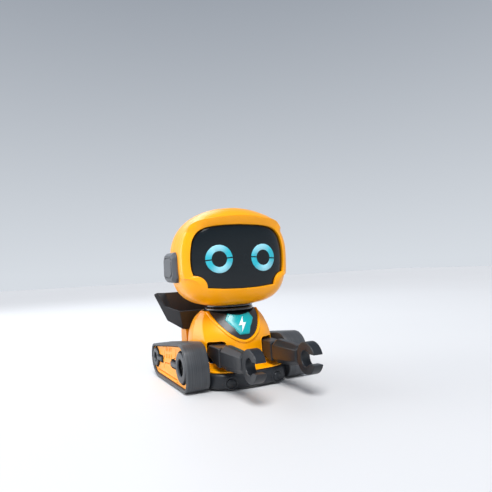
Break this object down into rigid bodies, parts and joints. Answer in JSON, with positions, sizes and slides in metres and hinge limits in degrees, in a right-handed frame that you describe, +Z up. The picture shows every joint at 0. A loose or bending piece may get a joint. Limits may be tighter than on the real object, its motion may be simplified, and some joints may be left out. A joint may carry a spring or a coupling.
{
  "type": "educational coding robot",
  "caption": "Tabletop line-following toy robot: turning helmet head with screen face, bell torso, two ring-clawed arms, rear hopper and moulded track units on a wheeled chassis.",
  "frame": {"origin": "on the floor, under the middle of the bounding box at rest", "axes": "-Y is the way the robot faces, +Z is up, +X is the robot's left; the row is mirror-symmetric across the YZ plane"},
  "size_m": [0.093, 0.1392, 0.125],
  "materials": {
    "orange_shell": "glossy amber-orange moulded ABS",
    "charcoal_plastic": "satin charcoal moulded ABS",
    "track_dark": "satin dark grey moulding",
    "hub_grey": "satin mid grey moulding",
    "black_gloss": "polished black, smoked",
    "eye_cyan": "backlit cyan light guide",
    "badge_teal": "satin teal",
    "icon_white": "white moulding",
    "circuit_board": "solder-masked board",
    "steel": "plated steel",
    "cell_jacket": "printed-free plain jacket",
    "natural_plastic": "natural acetal",
    "tyre_rubber": "matt black rubber",
    "red_button": "satin red",
    "sensor_lens": "dark red lens"
  },
  "bodies": {
    "chassis": {"torso_front_shell": "orange_shell", "torso_rear_shell": "orange_shell", "bin_saddle": "orange_shell", "track_plate_right": "orange_shell", "track_plate_left": "orange_shell", "chest_insert": "charcoal_plastic", "neck_collar": "charcoal_plastic", "hull_tub": "charcoal_plastic", "base_plate": "charcoal_plastic", "battery_cover": "charcoal_plastic", "rear_bin": "charcoal_plastic", "track_band_right": "track_dark", "track_band_left": "track_dark", "track_hub_front_right": "hub_grey", "track_hub_front_left": "hub_grey", "track_hub_rear_right": "hub_grey", "track_hub_rear_left": "hub_grey", "chest_badge": "badge_teal", "badge_icon": "icon_white", "main_board": "circuit_board", "motor_right": "steel", "motor_left": "steel", "battery_screw": "steel", "case_screw_right": "steel", "case_screw_left": "steel", "speaker": "steel", "battery_cell_1": "cell_jacket", "battery_cell_2": "cell_jacket", "neck_post": "natural_plastic", "battery_tray": "natural_plastic", "line_sensor": "sensor_lens"},
    "head": {"head_front_shell": "orange_shell", "head_rear_shell": "orange_shell", "face_screen": "black_gloss", "eye_upper_right": "eye_cyan", "eye_lower_right": "eye_cyan", "eye_upper_left": "eye_cyan", "eye_lower_left": "eye_cyan", "ear_cap_right": "charcoal_plastic", "ear_cap_left": "charcoal_plastic", "eye_light_board": "circuit_board", "neck_turntable": "black_gloss"},
    "shoulder_right": {"arm_shoulder_right": "charcoal_plastic"},
    "hand_right": {"forearm_right": "charcoal_plastic", "claw_right": "charcoal_plastic"},
    "wheel_right": {"drive_wheel_right": "natural_plastic", "drive_tyre_right": "tyre_rubber"},
    "pinion_right": {"motor_pinion_right": "natural_plastic"},
    "shoulder_left": {"arm_shoulder_left": "charcoal_plastic"},
    "hand_left": {"forearm_left": "charcoal_plastic", "claw_left": "charcoal_plastic"},
    "wheel_left": {"drive_wheel_left": "natural_plastic", "drive_tyre_left": "tyre_rubber"},
    "pinion_left": {"motor_pinion_left": "natural_plastic"},
    "roller": {"nose_roller": "tyre_rubber"},
    "button": {"power_button": "red_button"}
  },
  "joints": [
    {"name": "head_yaw", "type": "hinge", "parent": "chassis", "child": "head", "pos_m": [0, 0.01825, 0.053], "axis": [0, 0, 1], "range_deg": [-60, 60]},
    {"name": "shoulder_pitch_right", "type": "hinge", "parent": "chassis", "child": "shoulder_right", "pos_m": [-0.0193, -0.00275, 0.0223], "axis": [-1, 0, 0], "range_deg": [-5, 10]},
    {"name": "wrist_roll_right", "type": "hinge", "parent": "shoulder_right", "child": "hand_right", "pos_m": [-0.0193, -0.01975, 0.0223], "axis": [0, -1, 0], "range_deg": [-90, 90]},
    {"name": "wheel_spin_right", "type": "hinge", "parent": "chassis", "child": "wheel_right", "pos_m": [-0.0196, 0.03125, 0.008], "axis": [1, 0, 0], "continuous": true},
    {"name": "pinion_spin_right", "type": "hinge", "parent": "chassis", "child": "pinion_right", "pos_m": [-0.0156, 0.03505, 0.01504], "axis": [1, 0, 0], "continuous": true},
    {"name": "shoulder_pitch_left", "type": "hinge", "parent": "chassis", "child": "shoulder_left", "pos_m": [0.0193, -0.00275, 0.0223], "axis": [-1, 0, 0], "range_deg": [-5, 10]},
    {"name": "wrist_roll_left", "type": "hinge", "parent": "shoulder_left", "child": "hand_left", "pos_m": [0.0193, -0.01975, 0.0223], "axis": [0, -1, 0], "range_deg": [-90, 90]},
    {"name": "wheel_spin_left", "type": "hinge", "parent": "chassis", "child": "wheel_left", "pos_m": [0.0196, 0.03125, 0.008], "axis": [1, 0, 0], "continuous": true},
    {"name": "pinion_spin_left", "type": "hinge", "parent": "chassis", "child": "pinion_left", "pos_m": [0.0156, 0.03505, 0.01504], "axis": [1, 0, 0], "continuous": true},
    {"name": "roller_spin", "type": "hinge", "parent": "chassis", "child": "roller", "pos_m": [0, -0.01375, 0.004], "axis": [1, 0, 0], "continuous": true},
    {"name": "power_press", "type": "slide", "parent": "chassis", "child": "button", "axis": [0, 0, 1], "range_m": [0, 0.0012], "stiffness_N_per_m": 250}
  ],
  "couplings": [
    {"joint": "pinion_spin_right", "follows": "wheel_spin_right", "ratio": -3},
    {"joint": "pinion_spin_left", "follows": "wheel_spin_left", "ratio": -3}
  ]
}
